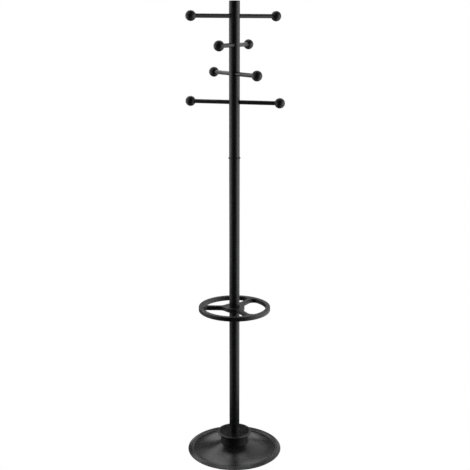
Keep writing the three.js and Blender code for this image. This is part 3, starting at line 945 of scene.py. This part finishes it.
def umbrella_holder():
    """Three sectors, a third of a turn apart, merged along the arms."""
    points, faces = holder_sector()
    parts = []
    for third in range(3):
        turn = ARM_AZIMUTH + math.pi / 3 + third * 2 * math.pi / 3
        c, s = math.cos(turn), math.sin(turn)
        parts.append((points @ np.array([[c, s, 0], [-s, c, 0], [0, 0, 1]]), faces))
    made = mesh_object("umbrella_holder_moulding", *joined(*parts))
    return fit(made, "umbrella_holder", "black_plastic", PLASTIC, "umbrella_ring")


base_dish()
foot_ring()
hub_cover()
hub_disc()
pole_section("pole_lower", "lower_tube")
pole_section("pole_middle", "middle_tube")
drilled_section()
joint_collar()
pole_cap()
holder_bush()
for peg_number in (1, 2, 3, 4):
    peg(peg_number)
umbrella_holder()

INNER_FINISHES = {
    "ballast_disc": IRON,
    "base_bolt": ZINC,
    "base_washer": ZINC,
    "pole_socket": ZINC,
    "lower_tube_bottom_insert": ZINC,
    "lower_tube_top_insert": ZINC,
    "middle_tube_bottom_insert": ZINC,
    "middle_tube_top_insert": ZINC,
    "upper_tube_bottom_insert": ZINC,
    "lower_stud": ZINC,
    "upper_stud": ZINC,
}
for node, finish in INNER_FINISHES.items():
    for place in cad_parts[node].material_slots:
        place.material = finish

# ---------------------------------------------------------------- camera

SENSOR_WIDTH = 36            # millimetres, as the lens
LENS = 65.245
LENS_SHIFT = 0.0012
CAMERA_DISTANCE = 3.1763
CAMERA_HEIGHT = 1.6602
CAMERA_TILT = math.radians(76.408)   # up from straight down

camera_data = bpy.data.cameras.new("camera")
camera_data.sensor_width = SENSOR_WIDTH
camera_data.lens = LENS
camera_data.shift_x = LENS_SHIFT
camera = bpy.data.objects.new("camera", camera_data)
camera.location = (0, -CAMERA_DISTANCE, CAMERA_HEIGHT)
camera.rotation_euler = (CAMERA_TILT, 0, 0)
bpy.context.scene.collection.objects.link(camera)
bpy.context.scene.camera = camera

# ---------------------------------------------------------------- studio

STUDIO_RADIUS = 2.5
STUDIO_HEIGHT = 3.4
FLOOR_BOX_LEVEL = 0.002
FLOOR_SIDE = 12.0


def softbox(name, width, height, glow, place, facing):
    """A rectangular light of an even glow, which the camera doesn't see. Its power is pi times its
    area times its glow."""
    data = bpy.data.lights.new(name, "AREA")
    data.shape = "RECTANGLE"
    data.size = width
    data.size_y = height
    data.energy = math.pi * width * height * glow
    box = bpy.data.objects.new(name, data)
    box.location = place
    box.rotation_euler = Vector(facing).to_track_quat("-Z", "Y").to_euler()
    box.visible_camera = False
    bpy.context.scene.collection.objects.link(box)


def standing_box(name, azimuth, low, high, width, glow):
    """A soft box that stands upright on the studio's circle and faces the pole."""
    x, y = math.cos(math.radians(azimuth)), math.sin(math.radians(azimuth))
    place = (STUDIO_RADIUS * x, STUDIO_RADIUS * y, (low + high) / 2)
    softbox(name, width, high - low, glow, place, (-x, -y, 0))


def seen_apart(tree, lit, seen, end):
    """The camera sees one shader, and every other ray meets the other."""
    path = tree.nodes.new("ShaderNodeLightPath")
    either = tree.nodes.new("ShaderNodeMixShader")
    tree.links.new(path.outputs["Is Camera Ray"], either.inputs[0])
    tree.links.new(lit.outputs[0], either.inputs[1])
    tree.links.new(seen.outputs[0], either.inputs[2])
    tree.links.new(either.outputs[0], end.inputs["Surface"])


def studio():
    """A white backdrop that only the camera sees, and soft boxes round the rack and over it."""
    world = bpy.data.worlds.new("studio")
    bpy.context.scene.world = world
    world.use_nodes = True
    tree = world.node_tree
    tree.nodes.clear()
    seen = tree.nodes.new("ShaderNodeBackground")
    seen.inputs["Color"].default_value = grey(1.0)
    lit = tree.nodes.new("ShaderNodeBackground")
    lit.inputs["Color"].default_value = grey(0.01)
    seen_apart(tree, lit, seen, tree.nodes.new("ShaderNodeOutputWorld"))
    standing_box("right box", 0, 0.0, 2.5, 1.3, 2.7)
    standing_box("right front box", 330, 0.0, 2.5, 1.3, 1.4)
    standing_box("right back box", 45, 0.0, 3.4, 2.6, 0.8)
    standing_box("high back box", 105, 1.8, 3.4, 2.6, 1.9)
    standing_box("low back box", 105, 0.0, 0.6, 2.6, 0.9)
    standing_box("left back box", 150, 0.0, 1.2, 1.3, 0.9)
    standing_box("high left back box", 150, 1.2, 3.4, 1.3, 1.5)
    standing_box("left box", 180, 0.0, 1.8, 1.3, 1.9)
    standing_box("high left box", 180, 1.8, 3.4, 1.3, 0.9)
    standing_box("left front box", 210, 0.0, 2.5, 1.3, 0.4)
    softbox("back ceiling box", 1.6, 1.4, 2.5, (0.0, 1.6, STUDIO_HEIGHT), (0, 0, -1))
    softbox("left ceiling box", 1.4, 3.0, 1.1, (-1.6, 0.0, STUDIO_HEIGHT), (0, 0, -1))
    softbox("right ceiling box", 1.4, 3.0, 0.5, (1.6, 0.0, STUDIO_HEIGHT), (0, 0, -1))
    softbox("right floor box", 1.8, 2.4, 1.2, (1.4, 0.3, FLOOR_BOX_LEVEL), (0, 0, 1))
    softbox("left floor box", 1.0, 1.4, 0.55, (-0.9, 0.2, FLOOR_BOX_LEVEL), (0, 0, 1))
    bpy.context.scene.view_settings.view_transform = "Standard"


def pale_floor():
    """Flat floor, white where the camera sees it and left out of reflections."""
    corner = np.array([[-1, -1, 0], [1, -1, 0], [1, 1, 0], [-1, 1, 0]]) * FLOOR_SIDE / 2
    mesh = bpy.data.meshes.new("floor")
    mesh.from_pydata(corner.tolist(), [], [[0, 1, 2, 3]])
    floor = bpy.data.objects.new("floor", mesh)
    bpy.context.scene.collection.objects.link(floor)
    material = bpy.data.materials.new("pale floor")
    material.use_nodes = True
    tree = material.node_tree
    shader = tree.nodes["Principled BSDF"]
    shader.inputs["Base Color"].default_value = grey(0.8)
    shader.inputs["Roughness"].default_value = 0.9
    glow = tree.nodes.new("ShaderNodeEmission")
    seen_apart(tree, shader, glow, tree.nodes["Material Output"])
    mesh.materials.append(material)
    floor.visible_glossy = False


studio()
pale_floor()
